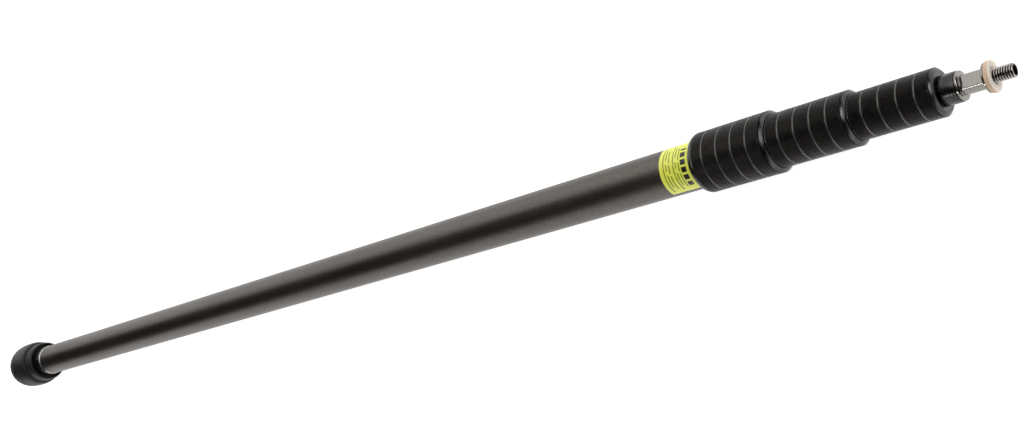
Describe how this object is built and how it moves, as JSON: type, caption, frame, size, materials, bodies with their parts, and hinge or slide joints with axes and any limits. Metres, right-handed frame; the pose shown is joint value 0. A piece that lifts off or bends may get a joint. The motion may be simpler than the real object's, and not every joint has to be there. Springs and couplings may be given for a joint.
{
  "type": "boom pole",
  "caption": "Telescoping microphone boom pole, collapsed: nested tubes, knurled twist-lock collars, threaded tip stud and rubber butt bumper.",
  "frame": {"origin": "centre of the flat end face of the butt bumper", "axes": "+X along the pole from butt to tip, +Z across the pole through the middle of the sticker's side, +Y completes the right-hand frame"},
  "size_m": [1.3254, 0.0546, 0.0546],
  "materials": {
    "tube": "satin dark anodised",
    "collar": "black anodised, fine knurl",
    "ferrule": "machined",
    "collet": "natural acetal",
    "bush": "natural acetal",
    "wiper": "soft",
    "ring": "black anodised",
    "screw": "black oxide",
    "steel": "turned and polished",
    "stud": "turned and polished",
    "leather": "undyed hide, cut edge",
    "insert": "machined",
    "sleeve": "dark anodised",
    "snap_ring": "bright spring steel",
    "pin": "black oxide",
    "plug": "machined",
    "bumper": "moulded black rubber",
    "label": "printed vinyl"
  },
  "bodies": {
    "outer_section": {"outer_tube": "tube", "ferrule_1": "ferrule", "collet_1": "collet", "butt_insert": "sleeve", "butt_snap_ring": "snap_ring", "butt_pins": "pin", "label": "label"},
    "butt_cap": {"butt_bumper": "bumper", "butt_plug": "plug", "butt_damper": "wiper"},
    "lock_collar_1": {"collar_1": "collar", "wiper_ring_1": "wiper"},
    "section_2": {"section_2_tube": "tube", "guide_bush_2": "bush", "ferrule_2": "ferrule", "collet_2": "collet"},
    "lock_collar_2": {"collar_2": "collar", "wiper_ring_2": "wiper"},
    "section_3": {"section_3_tube": "tube", "guide_bush_3": "bush", "ferrule_3": "ferrule", "collet_3": "collet"},
    "lock_collar_3": {"collar_3": "collar", "wiper_ring_3": "wiper"},
    "section_4": {"section_4_tube": "tube", "guide_bush_4": "bush", "tip_insert": "insert", "tip_ring": "ring", "tip_grub_screw": "screw", "tip_spigot": "steel", "tip_stud": "stud", "tip_washer": "leather"}
  },
  "joints": [
    {"name": "butt_cap_off", "type": "slide", "parent": "outer_section", "child": "butt_cap", "axis": [-1, 0, 0], "range_m": [0, 0.06]},
    {"name": "collar_1_turn", "type": "hinge", "parent": "outer_section", "child": "lock_collar_1", "pos_m": [1.13, 0, 0], "axis": [1, 0, 0], "range_deg": [0, 180]},
    {"name": "section_2_slide", "type": "slide", "parent": "outer_section", "child": "section_2", "axis": [1, 0, 0], "range_m": [0, 0.9541]},
    {"name": "collar_2_turn", "type": "hinge", "parent": "section_2", "child": "lock_collar_2", "pos_m": [1.19, 0, 0], "axis": [1, 0, 0], "range_deg": [0, 180]},
    {"name": "section_3_slide", "type": "slide", "parent": "section_2", "child": "section_3", "axis": [1, 0, 0], "range_m": [0, 1.0106]},
    {"name": "collar_3_turn", "type": "hinge", "parent": "section_3", "child": "lock_collar_3", "pos_m": [1.25, 0, 0], "axis": [1, 0, 0], "range_deg": [0, 180]},
    {"name": "section_4_slide", "type": "slide", "parent": "section_3", "child": "section_4", "axis": [1, 0, 0], "range_m": [0, 1.067]}
  ]
}
